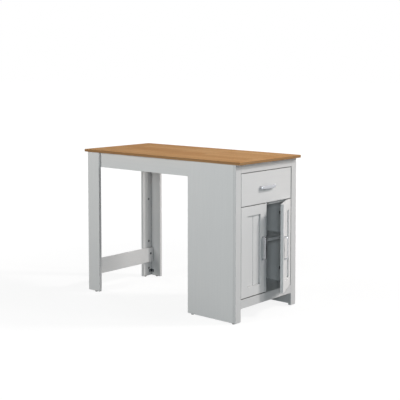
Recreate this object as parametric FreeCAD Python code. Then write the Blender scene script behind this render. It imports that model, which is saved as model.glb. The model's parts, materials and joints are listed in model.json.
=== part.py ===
import FreeCAD, Part
import math
import os

# Kitchen table with a storage cabinet under its right end, in millimetres.
# While it is built, X runs along the top from its free end to the cabinet's doors,
# Y runs across it from the near long side, and Z is the height above the floor.
# Everything is moved at the end, so that the origin is the middle of the footprint.
# "Left" and "right" are as seen by someone who faces the doors.

# ---------------------------------------------------------------- driving sizes
TOP_LENGTH = 1250.0
TOP_WIDTH = 580.0
TABLE_HEIGHT = 900.0
TOP_THICKNESS = 16.0
BOARD = 18.0                    # every white panel
OVERHANG_FREE_END = 25.0
OVERHANG_SIDES = 5.0
OVERHANG_DOOR_END = 30.0
GLIDE_HEIGHT = 5.0
CABINET_LENGTH = 352.0
LEG_WIDTH = 100.0               # along the table
LEG_DEPTH = 95.0                # across the table
APRON_DEPTH = 92.0
STILE_WIDTH = 47.0
TOP_RAIL_HEIGHT = 50.0
BOTTOM_RAIL_LOW = 79.0
BOTTOM_RAIL_HIGH = 129.0
DRAWER_SPLIT = 645.0            # height of the gap between the drawer and the doors
FRONT_GAP = 4.0
FRONT_SETBACK = 2.0
DOOR_REST_ANGLE = 25.5          # the right door stands open by this much
HANDLE_SPACING = 128.0
QUARTER_TURN = 90.0
HOLE_PLAY = 0.1                 # round holes are this much wider than what goes in them
HAIR = 0.01                     # two places nearer than this are the same

# ------------------------------------------------------------- derived positions
UNDER_TOP = TABLE_HEIGHT - TOP_THICKNESS
END_X = OVERHANG_FREE_END                        # outer face of the legs' end boards
NEAR_Y = OVERHANG_SIDES                          # outer face of everything on the near side
MID_Y = TOP_WIDTH / 2
FACE_X = TOP_LENGTH - OVERHANG_DOOR_END          # front of the face frame
FRAME_X = FACE_X - BOARD                         # back of the face frame
CABINET_X = FACE_X - CABINET_LENGTH              # back of the cabinet
INNER_Y = NEAR_Y + BOARD                         # inner face of the near boards
STILE_Y = NEAR_Y + STILE_WIDTH                   # inner edge of the near stile
DRAWER_TOP = UNDER_TOP - TOP_RAIL_HEIGHT - FRONT_GAP
DRAWER_LOW = DRAWER_SPLIT + FRONT_GAP / 2
DOOR_TOP = DRAWER_SPLIT - FRONT_GAP / 2
DOOR_LOW = BOTTOM_RAIL_HIGH + FRONT_GAP
FRONT_X = FACE_X - FRONT_SETBACK                 # outer face of the drawer front and doors
FRONT_BACK_X = FRONT_X - BOARD                   # their inner face
FRONT_Y = STILE_Y + FRONT_GAP                    # their edge beside the near stile
DOOR_WIDTH = MID_Y - FRONT_GAP / 2 - FRONT_Y
LEG_TOE = GLIDE_HEIGHT                           # boards stop here, on the glides

X_AXIS = FreeCAD.Vector(1, 0, 0)
Y_AXIS = FreeCAD.Vector(0, 1, 0)
Z_AXIS = FreeCAD.Vector(0, 0, 1)

nodes = {}                                       # node name: list of its solids


# ------------------------------------------------------------------ small helpers
def box(x_span, y_span, z_span):
    size = [high - low for low, high in (x_span, y_span, z_span)]
    return Part.makeBox(*size, FreeCAD.Vector(x_span[0], y_span[0], z_span[0]))


def rod(radius, start, direction, length):
    return Part.makeCylinder(radius, length, start, direction)


def facetted_rod(radius, start, direction, length, sides=6):
    """Small round stock that nothing turns on, with flats in place of its curve."""
    across = direction.cross(X_AXIS if direction.cross(Z_AXIS).Length < HAIR else Z_AXIS)
    corners = []
    for step in range(sides + 1):
        turn = FreeCAD.Rotation(direction, 360.0 * step / sides)
        corners.append(start + turn.multVec(across * radius))
    return Part.Face(Part.makePolygon(corners)).extrude(direction * length)


def eased(shape, width, pick):
    """Take the sharpness off the edges that pick() accepts."""
    return shape.makeChamfer(width, [edge for edge in shape.Edges if pick(edge)])


def edge_runs_along(edge, axis):
    straight = edge.Curve.TypeId == "Part::GeomLine"
    return straight and abs(edge.tangentAt(edge.FirstParameter).cross(axis).Length) < HAIR


def beyond_x(edge, x):
    return edge.BoundBox.XMin > x - HAIR


def mirrored(shape):
    """The same piece on the far side of the table."""
    return shape.mirror(FreeCAD.Vector(0, MID_Y, 0), Y_AXIS)


def add(name, *shapes):
    nodes.setdefault(name, []).extend(shapes)


def add_pair(stem, shape):
    """A near piece and its mirror image: as the doors are faced, near is left."""
    add(stem + "_left", shape)
    add(stem + "_right", mirrored(shape))


def drill(name, *cutters):
    """Take holes out of every solid of a node that is already made."""
    nodes[name] = [solid.cut(list(cutters)) for solid in nodes[name]]


# ------------------------------------------------------------------------ the top
EDGE_EASE = 1.0             # of the worktop


def make_worktop():
    slab = box((0, TOP_LENGTH), (0, TOP_WIDTH), (UNDER_TOP, TABLE_HEIGHT))
    add("worktop", eased(slab, EDGE_EASE, lambda edge: edge_runs_along(edge, Z_AXIS)
                         or edge.BoundBox.ZMin > TABLE_HEIGHT - HAIR))


# --------------------------------------------------- legs, aprons and the stretcher
STRETCHER_LOW = 99.0
STRETCHER_HIGH = 196.0
BOARD_EASE = 0.8


def make_leg():
    """An L of two boards: one along the table, one across it behind the first."""
    side = box((END_X, END_X + LEG_WIDTH), (NEAR_Y, INNER_Y), (LEG_TOE, UNDER_TOP))
    side = eased(side, BOARD_EASE, lambda edge: edge_runs_along(edge, Z_AXIS))
    end = box((END_X, END_X + BOARD), (INNER_Y, NEAR_Y + LEG_DEPTH), (LEG_TOE, UNDER_TOP))
    free_edge = NEAR_Y + LEG_DEPTH
    end = eased(end, BOARD_EASE, lambda edge: edge_runs_along(edge, Z_AXIS)
                and edge.BoundBox.YMin > free_edge - HAIR)
    add_pair("leg_side_board", side)
    add_pair("leg_end_board", end)


def make_aprons_and_stretcher():
    inside_leg = END_X + BOARD
    height = (UNDER_TOP - APRON_DEPTH, UNDER_TOP)
    add_pair("apron_side", box((inside_leg, CABINET_X), (INNER_Y, INNER_Y + BOARD), height))
    between_aprons = (INNER_Y + BOARD, TOP_WIDTH - INNER_Y - BOARD)
    add("apron_end", box((inside_leg, inside_leg + BOARD), between_aprons, height))
    stretcher = box((inside_leg, inside_leg + BOARD), (INNER_Y, TOP_WIDTH - INNER_Y),
                    (STRETCHER_LOW, STRETCHER_HIGH))
    add("leg_stretcher", eased(stretcher, BOARD_EASE, lambda edge: edge_runs_along(edge, Y_AXIS)))


# ------------------------------------------------------------------ cabinet carcass
CLEAT_WIDTH = 60.0
DIVIDER_PLAY = 0.5
DIVIDER_TOP = DRAWER_LOW - DIVIDER_PLAY
DIVIDER_FRONT = FRONT_BACK_X - FRONT_GAP
SHELF_TOP = 425.0
SHELF_FRONT = 1180.0
SHELF_PLAY = 1.5
PIN_RADIUS = 2.5
PIN_IN_BOARD = 10.0
PIN_SPOON_REACH = 11.0
PIN_SPOON_WIDTH = 10.0
PIN_SPOON_THICKNESS = 2.0
PIN_FROM_BACK = 60.0
PIN_FROM_FRONT = 50.0
BACK_INNER_X = CABINET_X + BOARD
INSIDE_Y = (INNER_Y, TOP_WIDTH - INNER_Y)


def make_carcass():
    side = box((CABINET_X, FRAME_X), (NEAR_Y, INNER_Y), (LEG_TOE, UNDER_TOP))
    add_pair("cabinet_side", side)
    add("cabinet_back", box((CABINET_X, BACK_INNER_X), INSIDE_Y, (BOTTOM_RAIL_LOW, UNDER_TOP)))
    floor_z = (BOTTOM_RAIL_HIGH - BOARD, BOTTOM_RAIL_HIGH)
    add("cabinet_bottom", box((BACK_INNER_X, FRAME_X), INSIDE_Y, floor_z))
    add("cabinet_divider", box((BACK_INNER_X, DIVIDER_FRONT), INSIDE_Y, (DIVIDER_TOP - BOARD, DIVIDER_TOP)))
    cleat_z = (UNDER_TOP - BOARD, UNDER_TOP)
    add("top_cleat_back", box((BACK_INNER_X, BACK_INNER_X + CLEAT_WIDTH), INSIDE_Y, cleat_z))
    add("top_cleat_front", box((FRAME_X - CLEAT_WIDTH, FRAME_X), INSIDE_Y, cleat_z))


def make_face_frame():
    stile = box((FRAME_X, FACE_X), (NEAR_Y, STILE_Y), (LEG_TOE, UNDER_TOP))
    add_pair("frame_stile", eased(stile, BOARD_EASE, lambda edge: edge_runs_along(edge, Z_AXIS)
                                  and beyond_x(edge, FACE_X)))
    between_stiles = (STILE_Y, TOP_WIDTH - STILE_Y)
    add("frame_rail_top", box((FRAME_X, FACE_X), between_stiles, (UNDER_TOP - TOP_RAIL_HEIGHT, UNDER_TOP)))
    add("frame_rail_bottom", box((FRAME_X, FACE_X), between_stiles, (BOTTOM_RAIL_LOW, BOTTOM_RAIL_HIGH)))


def make_shelf():
    """A loose shelf on four metal pins, each a stem in the side and a spoon under the shelf."""
    across = (INNER_Y + SHELF_PLAY, TOP_WIDTH - INNER_Y - SHELF_PLAY)
    add("shelf", box((BACK_INNER_X + SHELF_PLAY, SHELF_FRONT), across, (SHELF_TOP - BOARD, SHELF_TOP)))
    spoon_z = (SHELF_TOP - BOARD - PIN_SPOON_THICKNESS, SHELF_TOP - BOARD)
    for pin_x in (BACK_INNER_X + PIN_FROM_BACK, SHELF_FRONT - PIN_FROM_FRONT):
        start = FreeCAD.Vector(pin_x, INNER_Y - PIN_IN_BOARD, spoon_z[1] - PIN_RADIUS)
        stem = facetted_rod(PIN_RADIUS, start, Y_AXIS, PIN_IN_BOARD + PIN_SPOON_REACH)
        spoon = box((pin_x - PIN_SPOON_WIDTH / 2, pin_x + PIN_SPOON_WIDTH / 2),
                    (INNER_Y, INNER_Y + PIN_SPOON_REACH), spoon_z)
        pin = stem.fuse(spoon).removeSplitter()
        add("shelf_pins", pin, mirrored(pin))
        drill("cabinet_side_left", stem)
        drill("cabinet_side_right", mirrored(stem))


# ------------------------------------------------------------ knock-down fixings
CAM_RADIUS = 7.5
CAM_DEPTH = 12.5
CAM_PROUD = 0.2
CAM_FROM_END = 24.0
CAM_SLOT_LENGTH = 9.0
CAM_SLOT_WIDTH = 2.0
CAM_SLOT_DEPTH = 1.5
LEG_CAM_HEIGHTS = (55.0, 240.0, 526.0, 760.0)
STRETCHER_CAM_RISE = 10.0
BOLT_RADIUS = 3.5
BOLT_IN_MATE = 11.0


def cam_fixing(board, mate, face_point, face_normal, towards_mate):
    """A slotted cam lock sunk in a board's face, and the bolt it draws out of the mating board."""
    pocket_floor = face_point - face_normal * CAM_DEPTH
    cam = rod(CAM_RADIUS, pocket_floor, face_normal, CAM_DEPTH + CAM_PROUD)
    across = face_normal.cross(towards_mate)
    slot_floor = face_point + face_normal * (CAM_PROUD - CAM_SLOT_DEPTH)
    corner = slot_floor - towards_mate * (CAM_SLOT_LENGTH / 2) - across * (CAM_SLOT_WIDTH / 2)
    outline = [corner, corner + towards_mate * CAM_SLOT_LENGTH,
               corner + towards_mate * CAM_SLOT_LENGTH + across * CAM_SLOT_WIDTH,
               corner + across * CAM_SLOT_WIDTH, corner]
    slot = Part.Face(Part.makePolygon(outline)).extrude(face_normal * (CAM_SLOT_DEPTH * 2))
    add("cam_locks", cam.cut(slot))
    drill(board, rod(CAM_RADIUS + HOLE_PLAY, pocket_floor, face_normal, CAM_DEPTH))
    bolt_start = face_point - face_normal * (BOARD / 2) + towards_mate * CAM_RADIUS
    bolt = facetted_rod(BOLT_RADIUS, bolt_start, towards_mate, CAM_FROM_END - CAM_RADIUS + BOLT_IN_MATE)
    add("cam_bolts", bolt)
    drill(board, bolt)
    drill(mate, bolt)


def make_cam_fixings():
    """The joints at which the legs come apart flat, the same on both sides."""
    leg_face = END_X + BOARD
    stretcher_z = (STRETCHER_LOW + STRETCHER_HIGH) / 2 + STRETCHER_CAM_RISE
    for side, outwards, inner_y in (("left", -Y_AXIS, INNER_Y), ("right", Y_AXIS, TOP_WIDTH - INNER_Y)):
        cam_y = inner_y - CAM_FROM_END * outwards.y
        mate = "leg_side_board_" + side
        for height in LEG_CAM_HEIGHTS:
            on_board = FreeCAD.Vector(leg_face, cam_y, height)
            cam_fixing("leg_end_board_" + side, mate, on_board, X_AXIS, outwards)
        on_stretcher = FreeCAD.Vector(leg_face + BOARD, cam_y, stretcher_z)
        cam_fixing("leg_stretcher", mate, on_stretcher, X_AXIS, outwards)


DOWEL_RADIUS = 4.0
DOWEL_LENGTH = 28.0
DOWEL_OFFSET = 12.0


def make_dowels():
    """Beech dowels that join the face frame's rails to its stiles."""
    rail_middles = {"frame_rail_top": UNDER_TOP - TOP_RAIL_HEIGHT / 2,
                    "frame_rail_bottom": (BOTTOM_RAIL_LOW + BOTTOM_RAIL_HIGH) / 2}
    for rail, rail_z in rail_middles.items():
        for offset in (-DOWEL_OFFSET, DOWEL_OFFSET):
            start = FreeCAD.Vector(FACE_X - BOARD / 2, STILE_Y - DOWEL_LENGTH / 2, rail_z + offset)
            dowel = facetted_rod(DOWEL_RADIUS, start, Y_AXIS, DOWEL_LENGTH)
            add("frame_dowels", dowel, mirrored(dowel))
            drill(rail, dowel, mirrored(dowel))
            drill("frame_stile_left", dowel)
            drill("frame_stile_right", mirrored(dowel))


ANGLE_LEG = 24.0
ANGLE_WIDTH = 16.0
ANGLE_THICKNESS = 2.0
LEG_ANGLE_Z = 36.0
TOP_ANGLE_INSET = 130.0


def angle_bracket(corner, first_way, second_way):
    """A small bent steel angle with its back in the corner of two faces."""
    along = first_way.cross(second_way)
    back = corner - along * (ANGLE_WIDTH / 2)
    steps = [(0, 0), (ANGLE_LEG, 0), (ANGLE_LEG, ANGLE_THICKNESS), (ANGLE_THICKNESS, ANGLE_THICKNESS),
             (ANGLE_THICKNESS, ANGLE_LEG), (0, ANGLE_LEG), (0, 0)]
    outline = [back + first_way * first + second_way * second for first, second in steps]
    return Part.Face(Part.makePolygon(outline)).extrude(along * ANGLE_WIDTH)


def make_brackets():
    """Angles at the foot of each leg, at both ends of each apron, and under the worktop."""
    leg_face = END_X + BOARD
    stations = (leg_face + TOP_ANGLE_INSET, (leg_face + CABINET_X) / 2, CABINET_X - TOP_ANGLE_INSET)
    apron_middle = UNDER_TOP - APRON_DEPTH / 2
    for inwards, inner_y in ((Y_AXIS, INNER_Y), (-Y_AXIS, TOP_WIDTH - INNER_Y)):
        apron_face = inner_y + BOARD * inwards.y
        add("leg_brackets", angle_bracket(FreeCAD.Vector(leg_face, inner_y, LEG_ANGLE_Z), X_AXIS, inwards))
        for end_x, way in ((leg_face + BOARD, X_AXIS), (CABINET_X, -X_AXIS)):
            corner = FreeCAD.Vector(end_x, apron_face, apron_middle)
            add("apron_brackets", angle_bracket(corner, way, inwards))
        for along in stations:
            corner = FreeCAD.Vector(along, apron_face, UNDER_TOP)
            add("top_brackets", angle_bracket(corner, inwards, -Z_AXIS))


GLIDE_RADIUS = 9.0
GLIDE_BEVEL = 1.0
LEG_GLIDE_X = 0.62              # as shares of the leg's width and depth
LEG_GLIDE_Y = 0.72
BACK_GLIDE_INSET = 30.0
FRONT_GLIDE_INSET = 21.0


def make_glides():
    """Round plastic glides, two under each leg and two under each side of the cabinet."""
    side_middle = NEAR_Y + BOARD / 2
    spots = ((END_X + LEG_WIDTH * LEG_GLIDE_X, side_middle),
             (END_X + BOARD / 2, NEAR_Y + LEG_DEPTH * LEG_GLIDE_Y),
             (CABINET_X + BACK_GLIDE_INSET, side_middle),
             (FACE_X - FRONT_GLIDE_INSET, side_middle))
    for glide_x, glide_y in spots:
        foot = FreeCAD.Vector(glide_x, glide_y, 0)
        glide = Part.makeCone(GLIDE_RADIUS - GLIDE_BEVEL, GLIDE_RADIUS, GLIDE_HEIGHT, foot, Z_AXIS)
        add("glides", glide, mirrored(glide))


# ------------------------------------------------------------------------ handles
HANDLE_PROJECTION = 22.0
HANDLE_WIDTH = 15.0
HANDLE_BAR = 5.0
HANDLE_FOOT = 7.0
HANDLE_EASE = 1.2
HANDLE_BEND = 14.0
HANDLE_FROM_DOOR_EDGE = 33.0
HANDLE_SCREW_RADIUS = 2.0
HANDLE_HOLE_DEPTH = 9.0
HANDLE_SCREW_GRIP = 8.0
SCREW_HEAD_RADIUS = 4.0
SCREW_HEAD_HEIGHT = 2.0
DRAWER_HANDLE_Z = (DRAWER_LOW + DRAWER_TOP) / 2
DOOR_HANDLE_Z = 389.0


def handle_bow():
    """A flat bow along Z on the plane X = 0: its ends curve down into two feet that take screws."""
    half = HANDLE_SPACING / 2 + HANDLE_FOOT / 2
    inner_half = half - HANDLE_FOOT
    bar_low = HANDLE_PROJECTION - HANDLE_BAR
    inner_bend = HANDLE_BEND - HANDLE_BAR
    corner = math.sqrt(0.5)

    def point(out, along):
        return FreeCAD.Vector(out, 0, along)

    def bend_edge(out, along, radius, sign):
        centre_out = out - radius
        centre_along = along - radius * sign
        middle = point(centre_out + radius * corner, centre_along + radius * corner * sign)
        return [point(centre_out, along), middle, point(out, centre_along)]

    outer_low = bend_edge(HANDLE_PROJECTION, -half, HANDLE_BEND, -1)
    outer_high = bend_edge(HANDLE_PROJECTION, half, HANDLE_BEND, 1)
    inner_low = bend_edge(bar_low, -inner_half, inner_bend, -1)
    inner_high = bend_edge(bar_low, inner_half, inner_bend, 1)
    edges = [Part.LineSegment(point(0, -half), outer_low[0]), Part.Arc(*outer_low),
             Part.LineSegment(outer_low[2], outer_high[2]), Part.Arc(*reversed(outer_high)),
             Part.LineSegment(outer_high[0], point(0, half)),
             Part.LineSegment(point(0, half), point(0, inner_half)),
             Part.LineSegment(point(0, inner_half), inner_high[0]), Part.Arc(*inner_high),
             Part.LineSegment(inner_high[2], inner_low[2]), Part.Arc(*reversed(inner_low)),
             Part.LineSegment(inner_low[0], point(0, -inner_half)),
             Part.LineSegment(point(0, -inner_half), point(0, -half))]
    wire = Part.Wire([edge.toShape() for edge in edges])
    bow = Part.Face(wire).extrude(Y_AXIS * HANDLE_WIDTH)
    bow.translate(-Y_AXIS * (HANDLE_WIDTH / 2))
    bow = eased(bow, HANDLE_EASE, lambda edge: edge.BoundBox.YLength < HAIR
                and edge.CenterOfMass.x > inner_bend and abs(edge.CenterOfMass.z) < half
                and edge.BoundBox.XMax > bar_low + HAIR)
    for foot in (-HANDLE_SPACING / 2, HANDLE_SPACING / 2):
        hole_radius = HANDLE_SCREW_RADIUS + HOLE_PLAY
        bow = bow.cut(facetted_rod(hole_radius, point(0, foot), X_AXIS, HANDLE_HOLE_DEPTH))
    return bow


def make_handle(name, panel, centre_y, centre_z, turn):
    """Put a bow on a panel's outer face, with a machine screw through the panel into each foot."""
    place = FreeCAD.Placement(FreeCAD.Vector(FRONT_X, centre_y, centre_z), FreeCAD.Rotation(X_AXIS, turn))
    matrix = place.toMatrix()
    add("handle_" + name, handle_bow().transformed(matrix))
    for foot in (-HANDLE_SPACING / 2, HANDLE_SPACING / 2):
        behind = FreeCAD.Vector(-BOARD, 0, foot)
        shank = facetted_rod(HANDLE_SCREW_RADIUS, behind, X_AXIS, BOARD + HANDLE_SCREW_GRIP)
        head = facetted_rod(SCREW_HEAD_RADIUS, behind, -X_AXIS, SCREW_HEAD_HEIGHT)
        add("handle_screws_" + name, shank.fuse(head).removeSplitter().transformed(matrix))
        hole = facetted_rod(HANDLE_SCREW_RADIUS + HOLE_PLAY, behind, X_AXIS, BOARD)
        drill(panel, hole.transformed(matrix))


# ------------------------------------------------------------ doors and their hinges
DOOR_FRAME_SIDES = 57.0
DOOR_FRAME_ENDS = 55.0
PANEL_RECESS = 9.0
GROOVE_WIDTH = 4.0
GROOVE_DEPTH = 2.5
CUP_RADIUS = 17.5
CUP_DEPTH = 12.0
CUP_FROM_EDGE = 22.5
CUP_WALL = 1.5
FLANGE = 1.5
FLANGE_CORNER = 9.5
HINGE_INSET = 90.0
HINGE_HEIGHTS = (DOOR_LOW + HINGE_INSET, DOOR_TOP - HINGE_INSET)
PIVOT_PROUD = 1.0
PIVOT_X = FACE_X + PIVOT_PROUD
PIVOT_Y = STILE_Y + FRONT_GAP / 2
EAR_OFFSET = 9.5
EAR_WIDTH = 12.0
EAR_REACH = 30.0
EAR_SCREW = 24.0
HINGE_SCREW_HEAD = 3.4
ARM_PLATE = 2.0
ARM_PLATE_X = (FRAME_X - 52.0, FRAME_X - 12.0)
ARM_PLATE_REACH = 26.0
ARM_SCREW = 19.0
ARM_TAIL_X = FRAME_X - 60.0
ARM_WIDTH = 16.0
ARM_DEPTH = 11.0
ARM_CRANK_BACK = 19.0
NOSE_IN_CUP = 5.0
NOSE_FROM_EDGE = 18.5
NOSE_WIDTH = 11.5
HINGE_BLOCK_DEPTH = 60.0
HINGE_BLOCK_HEIGHT = 110.0


def make_door_panel():
    """The near door, shut: a slab with a sunk field, and a V-groove down the middle of the field."""
    slab = box((FRONT_BACK_X, FRONT_X), (FRONT_Y, FRONT_Y + DOOR_WIDTH), (DOOR_LOW, DOOR_TOP))
    slab = eased(slab, BOARD_EASE, lambda edge: beyond_x(edge, FRONT_X))
    field_y = (FRONT_Y + DOOR_FRAME_SIDES, FRONT_Y + DOOR_WIDTH - DOOR_FRAME_SIDES)
    field_z = (DOOR_LOW + DOOR_FRAME_ENDS, DOOR_TOP - DOOR_FRAME_ENDS)
    floor_x = FRONT_X - PANEL_RECESS
    slab = slab.cut(box((floor_x, FRONT_X), field_y, field_z))
    middle = sum(field_y) / 2
    outline = [(floor_x - GROOVE_DEPTH, middle), (floor_x + HAIR, middle - GROOVE_WIDTH / 2),
               (floor_x + HAIR, middle + GROOVE_WIDTH / 2)]
    points = [FreeCAD.Vector(x, y, field_z[0]) for x, y in outline]
    groove = Part.Face(Part.makePolygon(points + points[:1]))
    return slab.cut(groove.extrude(Z_AXIS * (field_z[1] - field_z[0])))


def hinge_cup(height):
    """A steel cup let into the door's inner face, with a flange whose two ears take the screws."""
    rim = FreeCAD.Vector(FRONT_BACK_X, FRONT_Y + CUP_FROM_EDGE, height)
    shell = rod(CUP_RADIUS, rim, X_AXIS, CUP_DEPTH)
    half = CUP_RADIUS + FLANGE
    flange_x = (FRONT_BACK_X - FLANGE, FRONT_BACK_X)
    plate = box(flange_x, (rim.y - half, rim.y + half), (height - half, height + half))
    plate = eased(plate, FLANGE_CORNER, lambda edge: edge_runs_along(edge, X_AXIS))
    ear_y = rim.y + EAR_OFFSET
    ears = box(flange_x, (ear_y - EAR_WIDTH / 2, ear_y + EAR_WIDTH / 2),
               (height - EAR_REACH, height + EAR_REACH))
    cup = shell.fuse([plate, ears])
    for sign in (-1, 1):
        seat = FreeCAD.Vector(FRONT_BACK_X - FLANGE, ear_y, height + sign * EAR_SCREW)
        cup = cup.fuse(facetted_rod(HINGE_SCREW_HEAD, seat, -X_AXIS, FLANGE))
    mouth = rim - X_AXIS * (2 * FLANGE)
    hollow = rod(CUP_RADIUS - CUP_WALL, mouth, X_AXIS, CUP_DEPTH + 2 * FLANGE - CUP_WALL)
    return cup.cut(hollow).removeSplitter()


def hinge_arm(height):
    """A mounting plate on the hinge block, and a cranked arm whose nose reaches into the shut cup.

    The nose stays outside the circle that the door's inner corner and the cup's rim sweep."""
    plate_face = STILE_Y + ARM_PLATE
    plate = box(ARM_PLATE_X, (STILE_Y, plate_face), (height - ARM_PLATE_REACH, height + ARM_PLATE_REACH))
    nose_x = FRONT_BACK_X + NOSE_IN_CUP
    nose_low = FRONT_Y + NOSE_FROM_EDGE
    nose_high = nose_low + NOSE_WIDTH
    crank_x = FRONT_BACK_X - ARM_CRANK_BACK
    arm_top = plate_face + ARM_DEPTH
    outline = [(ARM_TAIL_X, plate_face), (crank_x, plate_face), (FRONT_BACK_X - NOSE_WIDTH / 2, nose_low),
               (nose_x, nose_low), (nose_x, nose_high), (FRONT_BACK_X - NOSE_WIDTH, nose_high),
               (crank_x - ARM_DEPTH, arm_top), (ARM_TAIL_X, arm_top)]
    points = [FreeCAD.Vector(x, y, height - ARM_WIDTH / 2) for x, y in outline]
    arm = Part.Face(Part.makePolygon(points + points[:1])).extrude(Z_AXIS * ARM_WIDTH)
    hinge = plate.fuse(arm)
    for sign in (-1, 1):
        seat = FreeCAD.Vector(sum(ARM_PLATE_X) / 2, plate_face, height + sign * ARM_SCREW)
        hinge = hinge.fuse(facetted_rod(HINGE_SCREW_HEAD, seat, Y_AXIS, ARM_PLATE))
    return hinge.removeSplitter()


def make_doors():
    add_pair("door", make_door_panel())
    handle_y = FRONT_Y + DOOR_WIDTH - HANDLE_FROM_DOOR_EDGE
    make_handle("left", "door_left", handle_y, DOOR_HANDLE_Z, 0)
    make_handle("right", "door_right", TOP_WIDTH - handle_y, DOOR_HANDLE_Z, 0)
    for height in HINGE_HEIGHTS:
        block_z = (height - HINGE_BLOCK_HEIGHT / 2, height + HINGE_BLOCK_HEIGHT / 2)
        add_pair("hinge_blocks", box((FRAME_X - HINGE_BLOCK_DEPTH, FRAME_X), (INNER_Y, STILE_Y), block_z))
        add_pair("hinge_cups", hinge_cup(height))
        add_pair("hinge_arms", hinge_arm(height))
        rim = FreeCAD.Vector(FRONT_BACK_X, FRONT_Y + CUP_FROM_EDGE, height)
        bore = rod(CUP_RADIUS + HOLE_PLAY, rim, X_AXIS, CUP_DEPTH + HOLE_PLAY)
        drill("door_left", bore)
        drill("door_right", mirrored(bore))


def open_right_door():
    """Turn everything that the right door carries to the angle at which it stands at rest."""
    pivot = FreeCAD.Vector(PIVOT_X, TOP_WIDTH - PIVOT_Y, 0)
    for name in ("door_right", "handle_right", "handle_screws_right", "hinge_cups_right"):
        for solid in nodes[name]:
            solid.rotate(pivot, Z_AXIS, DOOR_REST_ANGLE)


BUMPER_SIZE = 9.0
BUMPER_PLAY = 0.4
BUMPER_FROM_MIDDLE = 40.0
BUMPER_DROP = 1.0


def make_bumpers():
    """Felt pads on the divider's front edge, where each shut door would knock."""
    pad_x = (DIVIDER_FRONT, FRONT_BACK_X - BUMPER_PLAY)
    middle_z = DIVIDER_TOP - BOARD / 2 - BUMPER_DROP
    for pad_y in (MID_Y - BUMPER_FROM_MIDDLE, MID_Y + BUMPER_FROM_MIDDLE):
        add("door_bumpers", box(pad_x, (pad_y - BUMPER_SIZE / 2, pad_y + BUMPER_SIZE / 2),
                                (middle_z - BUMPER_SIZE / 2, middle_z + BUMPER_SIZE / 2)))


# ------------------------------------------------------- drawer and its roller runners
DRAWER_BOARD = 12.0
DRAWER_BACK_X = 900.0
DRAWER_SIDE_Z = (665.0, 795.0)
DRAWER_BOTTOM_THICKNESS = 3.0
DRAWER_BOTTOM_RISE = 12.0
DRAWER_GROOVE = 5.0
DRAWER_BACK_DROP = 10.0
DRAWER_PLAY = 2.0
RUNNER_STEEL = 1.2
RUNNER_HEIGHT = 24.0
RUNNER_WIDTH = 10.5
ROLLER_RADIUS = 9.0
ROLLER_WIDTH = 6.0
ROLLER_Z = 672.0
ROLLER_PLAY = 0.3
ROLLER_SIDE_PLAY = 0.5
AXLE_RADIUS = 2.0
AXLE_PLAY = 0.08
RIVET_CAP = 0.9
RUNNER_END_GAP = 4.0
RUNNER_INSET = 2.0
RUNNER_MOUTH = 14.0
GUARD_END = 42.0
LIP_PLAY = 1.8
RUNNER_BATTEN_Z = (650.0, 700.0)
FRONT_ROLLER_X = 1185.0
REAR_ROLLER_X = 915.0
DRAWER_SIDE_Y = STILE_Y + RUNNER_WIDTH + DRAWER_PLAY
DRAWER_INNER_Y = DRAWER_SIDE_Y + DRAWER_BOARD


def make_drawer_box():
    """Sides, back and front, with the bottom let into grooves in the sides and the front."""
    bottom_low = DRAWER_SIDE_Z[0] + DRAWER_BOTTOM_RISE
    bottom_z = (bottom_low, bottom_low + DRAWER_BOTTOM_THICKNESS)
    box_x = (DRAWER_BACK_X, FRONT_BACK_X)
    side = box(box_x, (DRAWER_SIDE_Y, DRAWER_INNER_Y), DRAWER_SIDE_Z)
    groove = box(box_x, (DRAWER_INNER_Y - DRAWER_GROOVE, DRAWER_INNER_Y), bottom_z)
    add_pair("drawer_side", side.cut(groove))
    back_x = (DRAWER_BACK_X, DRAWER_BACK_X + DRAWER_BOARD)
    back_z = (bottom_z[1], DRAWER_SIDE_Z[1] - DRAWER_BACK_DROP)
    add("drawer_back", box(back_x, (DRAWER_INNER_Y, TOP_WIDTH - DRAWER_INNER_Y), back_z))
    groove_y = (DRAWER_INNER_Y - DRAWER_GROOVE, TOP_WIDTH - DRAWER_INNER_Y + DRAWER_GROOVE)
    bottom = box((DRAWER_BACK_X, FRONT_BACK_X + DRAWER_GROOVE), groove_y, bottom_z)
    add("drawer_bottom", bottom)
    front = box((FRONT_BACK_X, FRONT_X), (FRONT_Y, TOP_WIDTH - FRONT_Y), (DRAWER_LOW, DRAWER_TOP))
    add("drawer_front", eased(front, BOARD_EASE, lambda edge: beyond_x(edge, FRONT_X)).cut(bottom))
    make_handle("drawer", "drawer_front", MID_Y, DRAWER_HANDLE_Z, QUARTER_TURN)


def roller(centre):
    """A nylon wheel on a rivet, turning about Y."""
    half = ROLLER_WIDTH / 2
    bore = AXLE_RADIUS + AXLE_PLAY
    profile = [(-half, bore), (-half, ROLLER_RADIUS), (half, ROLLER_RADIUS), (half, bore)]
    points = [centre + Y_AXIS * along + Z_AXIS * radius for along, radius in profile]
    return Part.Face(Part.makePolygon(points + points[:1])).revolve(centre, Y_AXIS, 360)


def rivet(hub, direction):
    """The stub axle of a roller, from the runner's web to a flat cap past the wheel."""
    reach = RUNNER_STEEL + ROLLER_WIDTH + 2 * ROLLER_SIDE_PLAY
    shank = facetted_rod(AXLE_RADIUS, hub, direction, reach + RIVET_CAP)
    cap = facetted_rod(AXLE_RADIUS + RIVET_CAP, hub + direction * reach, direction, RIVET_CAP)
    return [shank, cap]


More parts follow.
